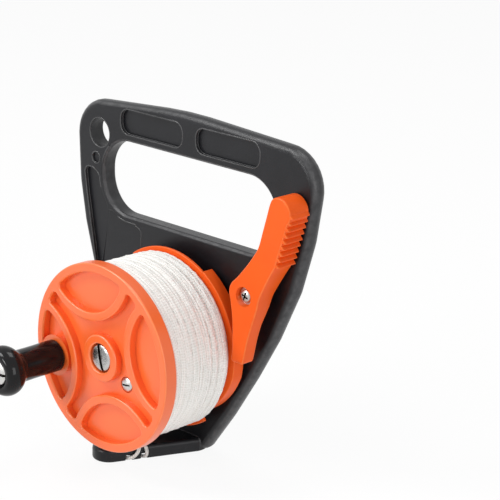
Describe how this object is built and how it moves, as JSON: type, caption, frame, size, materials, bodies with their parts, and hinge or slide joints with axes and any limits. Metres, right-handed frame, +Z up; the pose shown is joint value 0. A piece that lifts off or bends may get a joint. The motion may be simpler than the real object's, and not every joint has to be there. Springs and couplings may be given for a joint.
{
  "type": "hand line reel",
  "caption": "Hand-held line reel: moulded D-handle frame with a crank-wound spool, ratchet rim, sprung thumb lever and a line guide tongue it stands on.",
  "frame": {"origin": "on the ground, under the spool axis, in the plane of the frame plate's front face", "axes": "+Z up, -Y out of the crank side along the spool axis, +X towards the thumb lever"},
  "size_m": [0.1845, 0.1109, 0.1905],
  "materials": {
    "frame_plastic": "satin moulded black",
    "orange_plastic": "semi-gloss moulded orange",
    "knob_plastic": "gloss moulded black",
    "steel": "bright stainless",
    "nylon": "natural",
    "brass": "turned",
    "line": "braided"
  },
  "bodies": {
    "frame_set": {"frame": "frame_plastic", "axle": "steel", "axle_washer": "steel", "axle_nut": "steel", "thrust_washer": "nylon", "centre_screw": "steel", "front_washer": "steel", "lever_bush": "brass", "lever_washer": "steel", "lever_screw": "steel", "lever_spring": "steel", "line_lead": "line", "line_knot": "line"},
    "spool_set": {"spool_body": "orange_plastic", "rear_bush": "nylon", "front_flange": "orange_plastic", "front_bush": "nylon", "flange_screw": "steel", "knob_screw": "steel", "knob_washer": "steel", "knob_nut": "steel", "line_core": "line", "line_winding": "line"},
    "knob_set": {"knob_grip": "knob_plastic"},
    "lever_set": {"thumb_lever": "orange_plastic"}
  },
  "joints": [
    {"name": "spool_spin", "type": "hinge", "parent": "frame_set", "child": "spool_set", "pos_m": [0, 0, 0.0665], "axis": [0, 1, 0], "continuous": true},
    {"name": "knob_spin", "type": "hinge", "parent": "spool_set", "child": "knob_set", "pos_m": [-0.03661, -0.0601, 0.05838], "axis": [0, 1, 0], "continuous": true},
    {"name": "lever_press", "type": "hinge", "parent": "frame_set", "child": "lever_set", "pos_m": [0.0622, 0, 0.1063], "axis": [0, -1, 0], "range_deg": [0, 10], "stiffness_Nm_per_rad": 0.25, "springref_deg": -17.19, "deforming": ["lever_spring"]}
  ]
}
